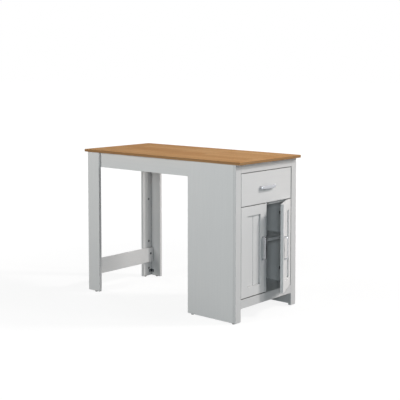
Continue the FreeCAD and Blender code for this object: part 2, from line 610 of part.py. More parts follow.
def cabinet_runner():
    """A steel channel on the batten: its lower lip is the rear roller's track, its front holds a roller."""
    low = ROLLER_Z - ROLLER_RADIUS - ROLLER_PLAY - RUNNER_STEEL
    high = low + RUNNER_HEIGHT
    x_span = (BACK_INNER_X + RUNNER_END_GAP, FRAME_X - RUNNER_END_GAP)
    lip_y = (STILE_Y, STILE_Y + RUNNER_WIDTH)
    web = box(x_span, (STILE_Y, STILE_Y + RUNNER_STEEL), (low, high))
    track = box((x_span[0], FRONT_ROLLER_X - RUNNER_MOUTH), lip_y, (low, low + RUNNER_STEEL))
    guard = box((x_span[0], FRONT_ROLLER_X - GUARD_END), lip_y, (high - RUNNER_STEEL, high))
    hub = FreeCAD.Vector(FRONT_ROLLER_X, STILE_Y, ROLLER_Z)
    return web.fuse([track, guard] + rivet(hub, Y_AXIS)).removeSplitter()


def drawer_runner():
    """A steel angle on the drawer's side: its lip rides on the front roller, its rear holds a roller."""
    web_y = (DRAWER_SIDE_Y - RUNNER_STEEL, DRAWER_SIDE_Y)
    lip_z = ROLLER_Z + ROLLER_RADIUS + ROLLER_PLAY
    x_span = (DRAWER_BACK_X + RUNNER_INSET, FRONT_BACK_X - RUNNER_END_GAP)
    web = box(x_span, web_y, (ROLLER_Z - AXLE_RADIUS - RIVET_CAP, lip_z + RUNNER_STEEL))
    lip_x = (REAR_ROLLER_X + RUNNER_MOUTH, x_span[1])
    lip = box(lip_x, (STILE_Y + LIP_PLAY, web_y[1]), (lip_z, lip_z + RUNNER_STEEL))
    hub = FreeCAD.Vector(REAR_ROLLER_X, DRAWER_SIDE_Y, ROLLER_Z)
    return web.fuse([lip] + rivet(hub, -Y_AXIS)).removeSplitter()


def make_runners():
    """Roller runners: steel on battens and on the drawer's sides, with two pairs of nylon wheels."""
    add_pair("runner_batten", box((BACK_INNER_X, FRAME_X), (INNER_Y, STILE_Y), RUNNER_BATTEN_Z))
    add_pair("runner_cabinet", cabinet_runner())
    add_pair("runner_drawer", drawer_runner())
    wheel_offset = RUNNER_STEEL + ROLLER_SIDE_PLAY + ROLLER_WIDTH / 2
    front = roller(FreeCAD.Vector(FRONT_ROLLER_X, STILE_Y + wheel_offset, ROLLER_Z))
    rear = roller(FreeCAD.Vector(REAR_ROLLER_X, DRAWER_SIDE_Y - wheel_offset, ROLLER_Z))
    add("cabinet_rollers", front, mirrored(front))
    add("drawer_rollers", rear, mirrored(rear))


# ------------------------------------------------------------------------- export
def build():
    make_worktop()
    make_leg()
    make_aprons_and_stretcher()
    make_carcass()
    make_face_frame()
    make_shelf()
    make_cam_fixings()
    make_dowels()
    make_brackets()
    make_glides()
    make_doors()
    make_drawer_box()
    make_runners()
    make_bumpers()
    open_right_door()


def export():
    """Write each node, moved so that the origin is the middle of the base of the whole piece."""
    os.makedirs("parts", exist_ok=True)
    whole = Part.makeCompound([solid for solids in nodes.values() for solid in solids])
    bounds = whole.optimalBoundingBox(False, False)
    shift = FreeCAD.Vector(-bounds.Center.x, -bounds.Center.y, -bounds.ZMin)
    print("nodes", len(nodes), "shift", [round(value, 4) for value in shift])
    print("size", round(bounds.XLength, 3), round(bounds.YLength, 3), round(bounds.ZLength, 3))
    for name, solids in nodes.items():
        shape = solids[0] if len(solids) == 1 else Part.makeCompound(solids)
        shape = shape.copy()
        shape.translate(shift)
        shape.exportStep("parts/" + name + ".step")


build()
export()
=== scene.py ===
import json
import math

import bmesh
import bpy
from mathutils import Matrix, Vector


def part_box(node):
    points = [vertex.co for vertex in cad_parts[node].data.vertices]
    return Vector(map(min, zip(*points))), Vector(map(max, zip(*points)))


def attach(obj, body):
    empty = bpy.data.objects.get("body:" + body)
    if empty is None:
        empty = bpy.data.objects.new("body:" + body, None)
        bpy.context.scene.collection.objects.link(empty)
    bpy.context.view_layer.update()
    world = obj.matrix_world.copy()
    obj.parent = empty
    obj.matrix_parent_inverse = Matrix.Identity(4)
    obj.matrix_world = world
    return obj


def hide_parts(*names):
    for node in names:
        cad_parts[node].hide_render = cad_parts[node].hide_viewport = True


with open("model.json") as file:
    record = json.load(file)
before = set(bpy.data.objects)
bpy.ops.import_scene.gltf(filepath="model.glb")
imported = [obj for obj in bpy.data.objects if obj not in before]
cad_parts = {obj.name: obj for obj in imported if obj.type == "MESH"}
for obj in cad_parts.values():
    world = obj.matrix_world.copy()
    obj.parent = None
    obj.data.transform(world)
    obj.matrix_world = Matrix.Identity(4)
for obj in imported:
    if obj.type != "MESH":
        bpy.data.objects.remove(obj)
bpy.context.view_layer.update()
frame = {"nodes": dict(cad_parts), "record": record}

# The looks of a kitchen table with a storage cabinet under one end, in metres.
# +X is the end with the doors, -Y the long side nearest the camera, Z is up.

NODES = frame["nodes"]
RECORD = frame["record"]

# ------------------------------------------------------------------------- camera
CAMERA_FROM_TOP = (4.2719, -3.8049)     # from the corner of the worktop at the free end, near side
CAMERA_HEIGHT = 1.4197
CAMERA_PITCH = 3.9069           # degrees below the horizon
CAMERA_YAW = 40.9873            # degrees to the left of +Y
CAMERA_LENS = 81.1975
CAMERA_SENSOR = 36.0
CAMERA_SHIFT_Y = -0.18
CAMERA_CLIP = (0.05, 200.0)


def make_camera():
    data = bpy.data.cameras.new("camera")
    data.sensor_width = CAMERA_SENSOR
    data.lens = CAMERA_LENS
    data.shift_y = CAMERA_SHIFT_Y
    data.clip_start, data.clip_end = CAMERA_CLIP
    camera = bpy.data.objects.new("camera", data)
    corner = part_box("worktop")[0]
    camera.location = (corner[0] + CAMERA_FROM_TOP[0], corner[1] + CAMERA_FROM_TOP[1], CAMERA_HEIGHT)
    camera.rotation_euler = (math.radians(90 - CAMERA_PITCH), 0, math.radians(CAMERA_YAW))
    bpy.context.scene.collection.objects.link(camera)
    bpy.context.scene.camera = camera


# ------------------------------------------------------------------- node graphs
PAINTED_SHADE_OPENNESS = (0.25, 0.75)         # how open a place is at the painted crevice shade's full tone, and at none
PAINTED_SHADE_SAMPLES = 6
EDGE_MATCH = (0.999, 0.88)              # how far the rounded normal agrees, on a flat and on an edge
EDGE_SAMPLES = 4


class Graph:
    """A node tree, built node by node. An input is a value or the output that feeds it."""

    def __init__(self, tree):
        self.tree = tree
        tree.nodes.clear()

    def add(self, kind, inputs=None, **settings):
        node = self.tree.nodes.new(kind)
        for name, value in settings.items():
            setattr(node, name, value)
        for name, value in (inputs or {}).items():
            socket = node.inputs[name]
            if isinstance(value, bpy.types.NodeSocket):
                self.tree.links.new(value, socket)
            else:
                socket.default_value = value
        return node

    def math(self, operation, *values):
        return self.add("ShaderNodeMath", dict(enumerate(values)), operation=operation).outputs[0]

    def mix(self, factor, first, second, blend="MIX"):
        node = self.add("ShaderNodeMix", {0: factor, 6: first, 7: second}, data_type="RGBA", blend_type=blend)
        return node.outputs[2]

    def span(self, value, from_low, from_high, to_low=0.0, to_high=1.0):
        node = self.add("ShaderNodeMapRange", {"Value": value, "From Min": from_low, "From Max": from_high,
                                               "To Min": to_low, "To Max": to_high})
        return node.outputs["Result"]

    def noise(self, vector, scale, detail=3.0, roughness=0.5, distortion=0.0):
        node = self.add("ShaderNodeTexNoise", {"Vector": vector, "Scale": scale, "Detail": detail,
                                               "Roughness": roughness, "Distortion": distortion})
        return node.outputs["Fac"]

    def stretch(self, vector, scale):
        return self.add("ShaderNodeMapping", {"Vector": vector, "Scale": scale}).outputs["Vector"]

    def bump(self, height, distance, strength=1.0, normal=None):
        inputs = {"Height": height, "Distance": distance, "Strength": strength}
        if normal is not None:
            inputs["Normal"] = normal
        return self.add("ShaderNodeBump", inputs).outputs["Normal"]

    def painted_crevice_shade(self, reach, deepest):
        """Painted shade: 1 in the open, down to the deepest tone in gaps and inner corners, where shadow
        falls.
        """
        open_share = self.add("ShaderNodeAmbientOcclusion", {"Distance": reach}, samples=PAINTED_SHADE_SAMPLES)
        return self.span(open_share.outputs["AO"], *PAINTED_SHADE_OPENNESS, deepest, 1.0)

    def shade(self, color, share):
        """The colour times a grey share."""
        grey = self.add("ShaderNodeCombineColor", {0: share, 1: share, 2: share}).outputs[0]
        return self.mix(1.0, color, grey, "MULTIPLY")


def linear_share(level):
    """One channel of a colour, from its level on screen, 0 to 255, to the share that a shader takes."""
    share = level / 255
    return share / 12.92 if share <= 0.04045 else ((share + 0.055) / 1.055) ** 2.4


def srgb(red, green, blue):
    """A colour as it shows on screen, for a shader."""
    return (linear_share(red), linear_share(green), linear_share(blue), 1.0)


def seen_ray(graph):
    """1 for rays that show a surface or the backdrop itself, 0 for those that only carry its light."""
    path = graph.add("ShaderNodeLightPath").outputs
    seen = graph.math("MAXIMUM", path["Is Camera Ray"], path["Is Glossy Ray"])
    return graph.math("MAXIMUM", seen, path["Is Transmission Ray"])


def new_material(name):
    made = bpy.data.materials.new(name)
    made.use_nodes = True
    graph = Graph(made.node_tree)
    where = graph.add("ShaderNodeTexCoord").outputs
    return made, graph, where


def surface(graph, color, roughness, normal=None, **fixed):
    inputs = {"Base Color": color, "Roughness": roughness}
    if normal is not None:
        inputs["Normal"] = normal
    for name, value in fixed.items():
        inputs[name.replace("_", " ")] = value
    shader = graph.add("ShaderNodeBsdfPrincipled", inputs).outputs[0]
    graph.add("ShaderNodeOutputMaterial", {"Surface": shader})


def edges_for_wear_and_shade(graph, radius):
    """The rounded normal, and a mask that is 1 along sharp edges and 0 on flats."""
    rounded = graph.add("ShaderNodeBevel", {"Radius": radius}, samples=EDGE_SAMPLES).outputs["Normal"]
    flat = graph.add("ShaderNodeNewGeometry").outputs["Normal"]
    match = graph.add("ShaderNodeVectorMath", {0: rounded, 1: flat}, operation="DOT_PRODUCT").outputs["Value"]
    return rounded, graph.span(match, *EDGE_MATCH)


# ---------------------------------------------------------------------- materials
# The scale of a noise is per metre. Each span gives a noise's low and high end, then the value at each.
GRAIN_STRETCH = {"X": (0.03, 1.0, 1.0), "Y": (1.0, 0.03, 1.0), "Z": (1.0, 1.0, 0.03)}
STILE_SIDE_SHARE = 0.90         # the stiles' sides are this much darker than their fronts
BOARD_PAINTED_SHADE = (0.009, 0.06)   # painted shade: how near a wall darkens a board, and the tone in the deepest gap
# painted shade for metal: how near a wall darkens it, and the tone in the deepest gap
METAL_PAINTED_SHADE = (0.012, 0.45)
DULL_SHARE = 0.72               # of a metal's colour where its polish is gone, and on the chrome's edges also painted shade
POLISH_SPREAD = 0.06            # how far a metal's roughness strays to each side
SIDEWAYS = (0.6, 0.8)           # how far a face turns to the long sides to count as a stile's side


def white_board(name, darker, lighter, flecked, grain, side_share=1.0):
    """A matt white face with a faint wood grain, a fine orange peel, rubbed edges and painted shade in its
    crevices.
    """
    made, graph, where = new_material(name)
    place = where["Object"]
    lengthwise = graph.stretch(place, GRAIN_STRETCH[grain])
    cloud = graph.noise(place, 3.0, 4.0)
    streak = graph.noise(lengthwise, 110.0, 4.0, 0.7)
    fibre = graph.noise(lengthwise, 900.0, 2.0)
    tone = graph.mix(cloud, darker, lighter)
    tone = graph.mix(graph.span(streak, 0.35, 0.65, 0.0, 0.35), tone, flecked)
    tone = graph.mix(graph.span(fibre, 0.55, 0.70, 0.0, 0.3), tone, flecked)
    rounded, edge = edges_for_wear_and_shade(graph, 0.0009)
    scuff = graph.math("MULTIPLY", edge, graph.noise(place, 60.0, 4.0))
    tone = graph.mix(scuff, tone, srgb(186, 183, 177))
    # painted shade: the board darkens in gaps and inner corners, where shadow falls
    share = graph.painted_crevice_shade(*BOARD_PAINTED_SHADE)
    if side_share < 1.0:
        facing = graph.add("ShaderNodeSeparateXYZ", {0: where["Normal"]}).outputs
        sideways = graph.span(graph.math("ABSOLUTE", facing["Y"]), *SIDEWAYS, 1.0, side_share)
        share = graph.math("MULTIPLY", share, sideways)
    rough = graph.span(graph.noise(place, 35.0, 5.0), 0.3, 0.7, 0.42, 0.54)
    peel = graph.noise(place, 1400.0, 2.0)
    relief = graph.math("ADD", graph.math("MULTIPLY", fibre, 0.6), graph.math("MULTIPLY", peel, 0.4))
    normal = graph.bump(relief, 0.00004, 0.5, rounded)
    surface(graph, graph.shade(tone, share), rough, normal, Specular_IOR_Level=0.4)
    return made


STAVE_SHIFT = 0.51              # where along the top the staves' ends fall
STAVE_LENGTH = 0.63
STAVE_WIDTH = 0.075
STAVE_STAGGER = 0.37            # of a stave's length, in every second row
STAVE_JOINT = 0.0004
BANDING_SHIFT = 4.3             # takes the ends' edging from another stretch of the grain
ON_END = 0.8                    # a face that turns this far to X is one of the top's ends
ON_SIDE = 0.5                   # a face that turns less than this to Z is a side or an end
SIDE_TONE = 0.60                # how far the sides' own tone covers the grain
OAK = {
    "dark stave": (208, 157, 104), "pale stave": (234, 190, 137),
    "broad streak": (202, 142, 84), "fine streak": (196, 144, 94), "pore": (126, 84, 52),
    "joint": (120, 80, 50), "side": (112, 88, 66), "worn edge": (138, 92, 54),
}


def oak_top():
    """Oak laminate: long staves side by side, each with its own tone, straight grain and dark pores."""
    made, graph, where = new_material("oak_top_looks")
    facing = graph.add("ShaderNodeSeparateXYZ", {0: where["Normal"]}).outputs
    on_end = graph.math("GREATER_THAN", graph.math("ABSOLUTE", facing["X"]), ON_END)
    parts = graph.add("ShaderNodeSeparateXYZ", {0: where["Object"]}).outputs
    lengthwise = graph.add("ShaderNodeCombineXYZ", {0: graph.math("ADD", parts["X"], STAVE_SHIFT),
                                                    1: graph.math("ADD", parts["Y"], parts["Z"])}).outputs[0]
    banding = graph.add("ShaderNodeCombineXYZ", {0: parts["Y"],
                                                 1: graph.math("ADD", parts["Z"], BANDING_SHIFT)}).outputs[0]
    along = graph.add("ShaderNodeMix", {0: on_end, 4: lengthwise, 5: banding}, data_type="VECTOR").outputs[1]
    staves = graph.add("ShaderNodeTexBrick", {
        "Vector": along, "Color1": (0, 0, 0, 1), "Color2": (1, 1, 1, 1), "Mortar": (0.5, 0.5, 0.5, 1),
        "Scale": 1.0, "Mortar Size": STAVE_JOINT, "Mortar Smooth": 0.3, "Bias": 0.0,
        "Brick Width": STAVE_LENGTH, "Row Height": STAVE_WIDTH}, offset=STAVE_STAGGER)
    stave = staves.outputs["Color"]
    shifted = graph.add("ShaderNodeVectorMath", {0: along, 1: stave}, operation="ADD").outputs[0]
    broad = graph.noise(graph.stretch(shifted, (1.6, 26.0, 1.0)), 1.0, 5.0, 0.6, 0.6)
    fine = graph.noise(graph.stretch(shifted, (9.0, 420.0, 1.0)), 1.0, 4.0, 0.65)
    pores = graph.noise(graph.stretch(shifted, (55.0, 1500.0, 1.0)), 1.0, 2.0, 0.5)
    oak = {part: srgb(*levels) for part, levels in OAK.items()}
    tone = graph.mix(stave, oak["dark stave"], oak["pale stave"])
    tone = graph.mix(graph.span(broad, 0.35, 0.7, 0.0, 0.55), tone, oak["broad streak"])
    tone = graph.mix(graph.span(fine, 0.42, 0.62, 0.0, 0.45), tone, oak["fine streak"])
    dark_pore = graph.span(pores, 0.60, 0.68, 0.0, 0.55)
    tone = graph.mix(dark_pore, tone, oak["pore"])
    tone = graph.mix(graph.math("MULTIPLY", staves.outputs["Fac"], 0.6), tone, oak["joint"])
    upright = graph.math("LESS_THAN", graph.math("ABSOLUTE", facing["Z"]), ON_SIDE)
    tone = graph.mix(graph.math("MULTIPLY", upright, SIDE_TONE), tone, oak["side"])
    rounded, edge = edges_for_wear_and_shade(graph, 0.001)
    tone = graph.mix(graph.math("MULTIPLY", edge, 0.35), tone, oak["worn edge"])
    rough = graph.span(fine, 0.3, 0.7, 0.52, 0.66)
    height = graph.math("SUBTRACT", graph.math("MULTIPLY", fine, 0.3), dark_pore)
    surface(graph, tone, rough, graph.bump(height, 0.00008, 0.6, rounded), Specular_IOR_Level=0.01)
    return made


def metal(name, color, roughness, brushed=(1.0, 1.0, 1.0), depth=0.00002, edging=0.35, radius=0.0005):
    """Plated metal: fine draw marks along one way, uneven polish, a little dullness on the edges (worn
    plating, on the chrome also painted shade) and painted shade in its crevices.
    """
    made, graph, where = new_material(name)
    place = graph.stretch(where["Object"], brushed)
    marks = graph.noise(place, 900.0, 3.0, 0.6)
    cloud = graph.noise(where["Object"], 120.0, 3.0)
    dull = tuple(DULL_SHARE * channel for channel in color[:3]) + (1.0,)
    tone = graph.mix(graph.span(cloud, 0.35, 0.75, 0.0, 0.25), color, dull)
    rounded, edge = edges_for_wear_and_shade(graph, radius)
    # dull edges: worn plating, and on the chrome also painted shade along its rounded edges
    tone = graph.mix(graph.math("MULTIPLY", edge, edging), tone, dull)
    # painted shade in the crevices around a fitting, where shadow falls
    tone = graph.shade(tone, graph.painted_crevice_shade(*METAL_PAINTED_SHADE))
    rough = graph.span(marks, 0.3, 0.7, roughness - POLISH_SPREAD, roughness + POLISH_SPREAD)
    surface(graph, tone, rough, graph.bump(marks, depth, 0.5, rounded), Metallic=1.0)
    return made


def plastic(name, color, dark, roughness, scatter=0.0):
    """Moulded plastic: a fine eroded texture, with a darker tone in random clouds."""
    made, graph, where = new_material(name)
    grain = graph.noise(where["Object"], 1100.0, 3.0)
    cloud = graph.noise(where["Object"], 60.0, 4.0)
    tone = graph.mix(graph.span(cloud, 0.35, 0.75), color, dark)
    rough = graph.span(grain, 0.3, 0.7, roughness - 0.06, roughness + 0.08)
    normal = graph.bump(grain, 0.00006, 0.6)
    surface(graph, tone, rough, normal, Subsurface_Weight=scatter, Subsurface_Scale=0.002)
    return made


def felt():
    """Short grey-white fibres in every direction."""
    made, graph, where = new_material("felt_looks")
    fibres = graph.noise(graph.stretch(where["Object"], (1.0, 3.0, 1.0)), 900.0, 6.0, 0.7, 2.0)
    tone = graph.mix(fibres, srgb(120, 118, 112), srgb(196, 193, 186))
    surface(graph, tone, 0.95, graph.bump(fibres, 0.0003, 0.9), Sheen_Weight=0.5, Sheen_Roughness=0.5)
    return made


def beech():
    """Pale beech, with short brown flecks along the grain."""
    made, graph, where = new_material("beech_looks")
    rings = graph.noise(graph.stretch(where["Object"], (200.0, 12.0, 200.0)), 1.0, 3.0, 0.6)
    flecks = graph.noise(graph.stretch(where["Object"], (1500.0, 140.0, 1500.0)), 1.0, 1.0)
    tone = graph.mix(rings, srgb(190, 150, 108), srgb(214, 178, 136))
    tone = graph.mix(graph.span(flecks, 0.6, 0.7, 0.0, 0.6), tone, srgb(140, 98, 62))
    surface(graph, tone, 0.6, graph.bump(flecks, 0.0001, 0.5))
    return made


def hardboard():
    """Thin fibreboard with a white lacquered face: tiny pits and a faint felted mottle."""
    made, graph, where = new_material("hardboard_looks")
    mottle = graph.noise(where["Object"], 45.0, 6.0, 0.7)
    pits = graph.noise(where["Object"], 900.0, 2.0)
    tone = graph.mix(mottle, srgb(196, 192, 184), srgb(212, 210, 205))
    tone = graph.mix(graph.span(pits, 0.62, 0.7, 0.0, 0.5), tone, srgb(160, 148, 130))
    surface(graph, tone, graph.span(mottle, 0.3, 0.7, 0.5, 0.62), graph.bump(pits, 0.00008, 0.5))
    return made


def make_materials():
    """One material for each of the record's slots, and for boards one for each way of the grain."""
    melamine = (srgb(211, 212, 212), srgb(218, 218, 217), srgb(207, 208, 208))
    paint = (srgb(220, 221, 221), srgb(226, 226, 225), srgb(216, 217, 217))
    looks = {
        "oak_top": oak_top(),
        # its edges dull almost fully: painted shade along the bar's rounded edges, on top of worn plating
        "satin_chrome": metal("satin_chrome_looks", srgb(192, 194, 198), 0.24, edging=0.9, radius=0.0015),
        "nickel_steel": metal("nickel_steel_looks", srgb(196, 193, 186), 0.24),
        "zinc_alloy": metal("zinc_alloy_looks", srgb(120, 122, 124), 0.42, depth=0.00005),
        "zinc_steel": metal("zinc_steel_looks", srgb(176, 180, 184), 0.36, depth=0.00003),
        "dark_zinc": metal("dark_zinc_looks", srgb(92, 97, 101), 0.40, depth=0.00004),
        "runner_steel": metal("runner_steel_looks", srgb(214, 214, 212), 0.33, (0.05, 1.0, 1.0)),
        "nylon": plastic("nylon_looks", srgb(214, 212, 204), srgb(188, 185, 176), 0.42, 0.1),
        "glide_plastic": plastic("glide_plastic_looks", srgb(66, 64, 62), srgb(44, 43, 42), 0.55),
        "felt": felt(),
        "beech": beech(),
        "hardboard": hardboard(),
    }
    for way in GRAIN_STRETCH:
        looks["white_board_" + way] = white_board("white_board_looks_" + way, *melamine, way)
        looks["painted_front_" + way] = white_board("painted_front_looks_" + way, *paint, way)
        looks["face_frame_" + way] = white_board("face_frame_looks_" + way, *melamine, way, STILE_SIDE_SHARE)
    return looks


def longest_way(name):
    low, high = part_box(name)
    spans = [high[axis] - low[axis] for axis in range(3)]
    return "XYZ"[spans.index(max(spans))]


EASED_SLOTS = ("white_board", "painted_front", "oak_top")
EDGE_EASE = 0.0006
EASED_OVER = math.radians(50)   # edges that turn by more than this
SAME_PLACE = 1e-6
SAME_PLANE = math.radians(0.5)


def ease_edges(node):
    """Break the sharp edges of a board, as its edging tape or paint does."""
    weld = node.modifiers.new("weld", "WELD")
    weld.merge_threshold = SAME_PLACE
    flat = node.modifiers.new("flat", "DECIMATE")
    flat.decimate_type = "DISSOLVE"
    flat.angle_limit = SAME_PLANE
    bevel = node.modifiers.new("ease", "BEVEL")
    bevel.width = EDGE_EASE
    bevel.segments = 2
    bevel.limit_method = "ANGLE"
    bevel.angle_limit = EASED_OVER
    bevel.use_clamp_overlap = True


def dress_cad_nodes(looks):
    """Give each CAD node its slot's material. A board's grain runs along its longest way."""
    for part in RECORD["subparts"]:
        name = part["node"]
        look = looks.get(part["material_slot"])
        if look is None:
            family = "face_frame" if name.startswith("frame_") else part["material_slot"]
            look = looks[family + "_" + longest_way(name)]
        node = NODES[name]
        node.data.materials.clear()
        node.data.materials.append(look)
        if part["material_slot"] in EASED_SLOTS:
            ease_edges(node)


# ---------------------------------------------------------------------- mesh pieces
CREASE = math.radians(40.0)     # sharper edges than this stay sharp in the shading
X, Y, Z = range(3)
UP = Vector((0, 0, 1))
ACROSS = Vector((0, 1, 0))
INWARDS = Vector((-1, 0, 0))    # from the doors' end into the cabinet


def ring_tube(rings):
    """A closed skin over rings of points, all with the same count."""
    mesh = bmesh.new()
    loops = [[mesh.verts.new(point) for point in ring] for ring in rings]
    for first, second in zip(loops, loops[1:]):
        for index, corner in enumerate(first):
            after = (index + 1) % len(first)
            mesh.faces.new((corner, first[after], second[after], second[index]))
    mesh.faces.new(reversed(loops[0]))
    mesh.faces.new(loops[-1])
    return mesh


def join_meshes(meshes):
    joined = bmesh.new()
    for part in meshes:
        carrier = bpy.data.meshes.new("carrier")
        part.to_mesh(carrier)
        part.free()
        joined.from_mesh(carrier)
        bpy.data.meshes.remove(carrier)
    return joined


def make_piece(name, mesh, look, body):
    """Turn a bmesh into a smooth-shaded piece that rides on a body."""
    bmesh.ops.recalc_face_normals(mesh, faces=mesh.faces)
    for face in mesh.faces:
        face.smooth = True
    for edge in mesh.edges:
        edge.smooth = len(edge.link_faces) < 2 or edge.calc_face_angle() < CREASE
    data = bpy.data.meshes.new(name)
    mesh.to_mesh(data)
    mesh.free()
    data.materials.append(look)
    piece = bpy.data.objects.new(name, data)
    bpy.context.scene.collection.objects.link(piece)
    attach(piece, body)
    return piece


def body_of(node):
    return next(body for body, names in RECORD["behaviour"]["bodies"].items() if node in names)


# ------------------------------------------------------------------------- handles
HANDLE_REACH = 0.022
HANDLE_WIDTH = 0.015            # at the feet
HANDLE_CROWN = 0.004            # how much wider the bar gets towards its middle
HANDLE_BAR = 0.005
HANDLE_FOOT = 0.007
HANDLE_BEND = 0.014
HANDLE_FLARE = 0.0006           # how much wider each foot ends than its post
HANDLE_FLARE_HEIGHTS = (0.0012, 0.0024)     # the flare is full up to the first, and gone at the second
BEND_STEPS = 14
SECTION_STEPS = 40
SECTION_POWER = 3.2             # of the superellipse that rounds the bar's section
BAR_STEPS = 6


def bow_outline(half):
    """Pairs of outer and inner points, as (out, along), from one foot up to the middle of the bar."""
    full, gone = HANDLE_FLARE_HEIGHTS
    pairs = []
    for out, flare in ((0.0, HANDLE_FLARE), (full, HANDLE_FLARE), (gone, 0.0)):
        pairs.append(((out, half + flare), (out, half - HANDLE_FOOT - flare)))
    turn_out = HANDLE_REACH - HANDLE_BEND
    inner_bend = HANDLE_BEND - HANDLE_BAR
    for step in range(BEND_STEPS + 1):
        angle = math.pi / 2 * step / BEND_STEPS
        rise, run = math.sin(angle), math.cos(angle)
        outer = (turn_out + HANDLE_BEND * rise, half - HANDLE_BEND + HANDLE_BEND * run)
        inner = (turn_out + inner_bend * rise, half - HANDLE_FOOT - inner_bend + inner_bend * run)
        pairs.append((outer, inner))
    bend_end = half - HANDLE_BEND
    for step in range(1, BAR_STEPS + 1):
        share = 1.0 - step / BAR_STEPS
        pairs.append(((HANDLE_REACH, share * bend_end), (HANDLE_REACH - HANDLE_BAR, share * bend_end)))
    return pairs


def superellipse(side):
    """A circle's cosine or sine, taken out towards the corners of the box around it."""
    return math.copysign(abs(side) ** (2 / SECTION_POWER), side)


def bow_ring(outer, inner, half):
    """The rounded section between an outer and an inner point, as (out, along, across)."""
    middle = [(outer[axis] + inner[axis]) / 2 for axis in range(2)]
    half_way = [(outer[axis] - inner[axis]) / 2 for axis in range(2)]
    width = HANDLE_WIDTH + HANDLE_CROWN * math.cos(math.pi / 2 * middle[1] / half)
    ring = []
    for step in range(SECTION_STEPS):
        angle = 2 * math.pi * step / SECTION_STEPS
        run, rise = superellipse(math.cos(angle)), superellipse(math.sin(angle))
        ring.append((middle[0] + half_way[0] * run, middle[1] + half_way[1] * run, width / 2 * rise))
    return ring


def right_hinge():
    """The right door's joint, as the record has it."""
    return next(joint for joint in RECORD["behaviour"]["joints"] if joint["name"] == "right_door_hinge")


def right_door_turn():
    """The angle at which the right door stands open at rest."""
    return -math.radians(right_hinge()["range_deg"][0])


def on_right_door(place, way):
    """A place and a direction on the left door, mirrored and turned to the right door at rest."""
    pivot = Vector(right_hinge()["pos_m"])
    turn = Matrix.Rotation(right_door_turn(), 3, "Z")
    return pivot + turn @ (mirrored(place) - pivot), turn @ mirrored(way)


def mirrored(vector):
    """The same on the far side of the table's middle."""
    return Vector((vector.x, -vector.y, vector.z))


def make_handle(name, turn, lengthwise, looks):
    """A smooth bow in place of a CAD handle, on a front turned by this angle about Z."""
    low, high = (Vector(corner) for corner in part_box(name))
    out = Vector((math.cos(turn), math.sin(turn), 0.0))
    sideways = lengthwise.cross(out)
    foot = (low + high) / 2 - out * (HANDLE_REACH / 2)
    half = abs((high - low).dot(lengthwise)) / 2
    upper = bow_outline(half - HANDLE_FLARE)
    lower = [((first[0], -first[1]), (second[0], -second[1])) for first, second in reversed(upper[:-1])]
    rings = []
    for outer, inner in upper + lower:
        rings.append([foot + out * point[0] + lengthwise * point[1] + sideways * point[2]
                      for point in bow_ring(outer, inner, half)])
    slot = "satin_chrome"
    piece = make_piece(name + "_bow", ring_tube(rings), looks[slot], body_of(name))
    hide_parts(name)


# -------------------------------------------------------------------------- screws
SCREW_SLOT = "zinc_steel"
SCREW_STEPS = 24
# A pan head's outline, from its seat up: shares of its radius and of its height.
HEAD_OUTLINE = ((1.0, 0.0), (1.0, 0.45), (0.93, 0.72), (0.78, 0.92), (0.62, 1.0))
# The cross in it: how far it reaches and half its width, as shares of the radius, then how much
# narrower it is at its bottom and how high that lies, as a share of the height.
CROSS_REACH = 0.52
CROSS_HALF_WIDTH = 0.13
CROSS_TAPER = 0.7
CROSS_BOTTOM = 0.35


def cross_radius(angle, arm, half_width):
    """How far a cross-shaped recess reaches in this direction."""
    run, rise = abs(math.cos(angle)), abs(math.sin(angle))
    tiny = 1e-9
    lying = min(arm / max(run, tiny), half_width / max(rise, tiny))
    standing = min(half_width / max(run, tiny), arm / max(rise, tiny))
    return max(lying, standing)


def pan_head(seat, out, radius, height):
    """A domed screw head with a cross recess, that stands on a seat."""
    out = out.normalized()
    side = out.orthogonal().normalized()
    up = out.cross(side)
    steps = [2 * math.pi * step / SCREW_STEPS for step in range(SCREW_STEPS)]
    cross = [cross_radius(angle, CROSS_REACH * radius, CROSS_HALF_WIDTH * radius) for angle in steps]
    rings = [[(share * radius, rise * height)] * SCREW_STEPS for share, rise in HEAD_OUTLINE]
    rings.append([(reach, height) for reach in cross])
    rings.append([(CROSS_TAPER * reach, CROSS_BOTTOM * height) for reach in cross])
    skins = []
    for ring in rings:
        skins.append([seat + side * (reach * math.cos(angle)) + up * (reach * math.sin(angle)) + out * rise
                      for angle, (reach, rise) in zip(steps, ring)])
    return ring_tube(skins)


def loose_boxes(name):
    """The lowest and highest corners of each separate solid of a CAD node."""
    mesh = bmesh.new()
    mesh.from_mesh(NODES[name].data)
    bmesh.ops.remove_doubles(mesh, verts=mesh.verts, dist=SAME_PLACE)
    left = set(mesh.verts)
    boxes = []
    while left:
        island = [left.pop()]
        for vert in island:
            for edge in vert.link_edges:
                other = edge.other_vert(vert)
                if other in left:
                    left.remove(other)
                    island.append(other)
        points = [vert.co for vert in island]
        boxes.append((Vector([min(point[axis] for point in points) for axis in range(3)]),
                      Vector([max(point[axis] for point in points) for axis in range(3)])))
    mesh.free()
    return sorted(boxes, key=lambda corners: tuple(corners[0]))


ANGLE_THICKNESS = 0.002
ANGLE_SCREW_SHARE = 0.62        # of each leg of an angle, from its corner
ANGLE_SCREW_RADIUS = 0.0034
ANGLE_SCREW_HEIGHT = 0.0016


